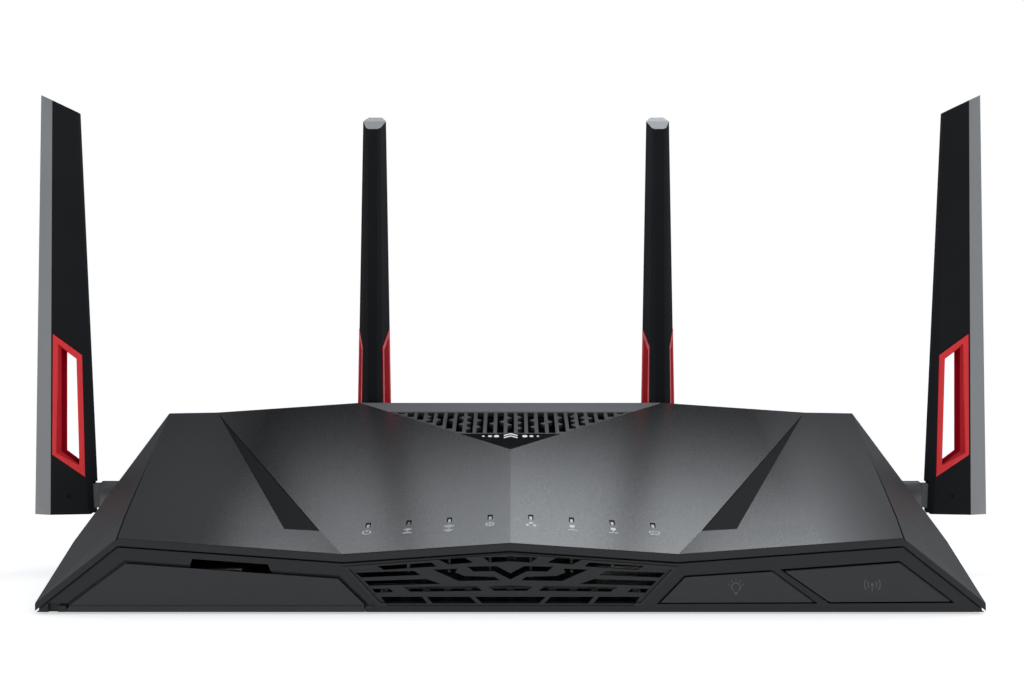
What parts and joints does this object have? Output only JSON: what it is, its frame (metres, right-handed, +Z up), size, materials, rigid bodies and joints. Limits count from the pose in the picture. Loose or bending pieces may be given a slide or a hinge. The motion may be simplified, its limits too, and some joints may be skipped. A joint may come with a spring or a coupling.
{
  "type": "wireless router",
  "caption": "Low faceted router body with fold-out paddle antennas, front flap over a USB socket, press keys, louvred front, vented top insert and rear network sockets.",
  "frame": {"origin": "on the table under the centre of the overall bounding box, antennas upright", "axes": "+X to the right seen from the front, the longest way; +Y towards the rear sockets; +Z up"},
  "size_m": [0.3612, 0.2218, 0.1842],
  "materials": {
    "cover_plastic": "fine matte texture",
    "trim_plastic": "matte",
    "housing_plastic": "matte",
    "gloss_black": "piano gloss",
    "paddle_black": "satin gloss",
    "pale_plastic": "matte",
    "key_plastic": "matte",
    "red_plastic": "satin red",
    "board": "solder mask",
    "chip": "moulded",
    "aluminium": "extruded",
    "tin_plate": "tin plated",
    "steel": "zinc plated",
    "gold": "gold plated",
    "cable": "black jacket",
    "rubber": "matte",
    "light_guide": "clear acrylic",
    "led": "clear moulded"
  },
  "bodies": {
    "case": {"top_cover": "cover_plastic", "accent_strips": "trim_plastic", "badge_plate": "gloss_black", "top_vent_grille": "key_plastic", "rear_bar": "pale_plastic", "bottom_housing": "housing_plastic", "front_bezel": "trim_plastic", "front_grille": "key_plastic", "rear_panel": "housing_plastic", "main_board": "board", "board_chips": "chip", "cpu_heat_sink": "aluminium", "radio_shields": "tin_plate", "lan_socket": "chip", "wan_socket": "chip", "rear_usb_socket": "tin_plate", "front_usb_socket": "tin_plate", "dc_inlet": "chip", "power_switch_body": "chip", "tact_switches": "chip", "light_guides": "light_guide", "status_leds": "led", "antenna_leads": "cable", "housing_screws": "steel", "board_screws": "steel", "rubber_feet": "rubber", "antenna_jacks": "gold"},
    "door": {"usb_door": "key_plastic"},
    "light_key": {"light_button": "key_plastic"},
    "radio_key": {"radio_button": "key_plastic"},
    "power_key": {"power_button": "trim_plastic"},
    "pairing_key": {"pairing_button": "trim_plastic"},
    "reset_key": {"reset_button": "trim_plastic"},
    "right_swivel": {"right_arm": "paddle_black"},
    "right_paddle": {"right_blade_shell": "paddle_black", "right_blade_cover": "paddle_black", "right_window_frame": "red_plastic", "right_element": "gold", "right_hinge_pin": "steel"},
    "left_swivel": {"left_arm": "paddle_black"},
    "left_paddle": {"left_blade_shell": "paddle_black", "left_blade_cover": "paddle_black", "left_window_frame": "red_plastic", "left_element": "gold", "left_hinge_pin": "steel"},
    "rear_left_swivel": {"rear_left_arm": "paddle_black"},
    "rear_left_paddle": {"rear_left_blade_shell": "paddle_black", "rear_left_blade_cover": "paddle_black", "rear_left_window_frame": "red_plastic", "rear_left_element": "gold", "rear_left_hinge_pin": "steel"},
    "rear_right_swivel": {"rear_right_arm": "paddle_black"},
    "rear_right_paddle": {"rear_right_blade_shell": "paddle_black", "rear_right_blade_cover": "paddle_black", "rear_right_window_frame": "red_plastic", "rear_right_element": "gold", "rear_right_hinge_pin": "steel"}
  },
  "joints": [
    {"name": "door_hinge", "type": "hinge", "parent": "case", "child": "door", "pos_m": [-0.093, -0.1098, 0.0016], "axis": [1, 0, 0], "range_deg": [0, 85]},
    {"name": "light_key_press", "type": "slide", "parent": "case", "child": "light_key", "axis": [0, 1, 0], "range_m": [0, 0.0008], "stiffness_N_per_m": 900},
    {"name": "radio_key_press", "type": "slide", "parent": "case", "child": "radio_key", "axis": [0, 1, 0], "range_m": [0, 0.0008], "stiffness_N_per_m": 900},
    {"name": "power_key_press", "type": "slide", "parent": "case", "child": "power_key", "axis": [0, -1, 0], "range_m": [0, 0.0015], "stiffness_N_per_m": 900},
    {"name": "pairing_key_press", "type": "slide", "parent": "case", "child": "pairing_key", "axis": [0, -1, 0], "range_m": [0, 0.0008], "stiffness_N_per_m": 900},
    {"name": "reset_key_press", "type": "slide", "parent": "case", "child": "reset_key", "axis": [0, -1, 0], "range_m": [0, 0.0008], "stiffness_N_per_m": 900},
    {"name": "right_arm_swivel", "type": "hinge", "parent": "case", "child": "right_swivel", "pos_m": [0.1668, 0.0161, 0.0285], "axis": [1, 0, 0], "range_deg": [-90, 90]},
    {"name": "right_paddle_fold", "type": "hinge", "parent": "right_swivel", "child": "right_paddle", "pos_m": [0.1668, 0.0161, 0.0285], "axis": [0, 1, 0], "range_deg": [0, 90]},
    {"name": "left_arm_swivel", "type": "hinge", "parent": "case", "child": "left_swivel", "pos_m": [-0.1668, 0.0161, 0.0285], "axis": [-1, 0, 0], "range_deg": [-90, 90]},
    {"name": "left_paddle_fold", "type": "hinge", "parent": "left_swivel", "child": "left_paddle", "pos_m": [-0.1668, 0.0161, 0.0285], "axis": [0, -1, 0], "range_deg": [0, 90]},
    {"name": "rear_left_arm_swivel", "type": "hinge", "parent": "case", "child": "rear_left_swivel", "pos_m": [-0.0583, 0.0971, 0.0319], "axis": [0, 1, 0], "range_deg": [-90, 35]},
    {"name": "rear_left_paddle_fold", "type": "hinge", "parent": "rear_left_swivel", "child": "rear_left_paddle", "pos_m": [-0.0583, 0.0971, 0.0319], "axis": [-1, 0, 0], "range_deg": [0, 90]},
    {"name": "rear_right_arm_swivel", "type": "hinge", "parent": "case", "child": "rear_right_swivel", "pos_m": [0.0628, 0.0971, 0.0319], "axis": [0, 1, 0], "range_deg": [-35, 90]},
    {"name": "rear_right_paddle_fold", "type": "hinge", "parent": "rear_right_swivel", "child": "rear_right_paddle", "pos_m": [0.0628, 0.0971, 0.0319], "axis": [-1, 0, 0], "range_deg": [0, 90]}
  ]
}
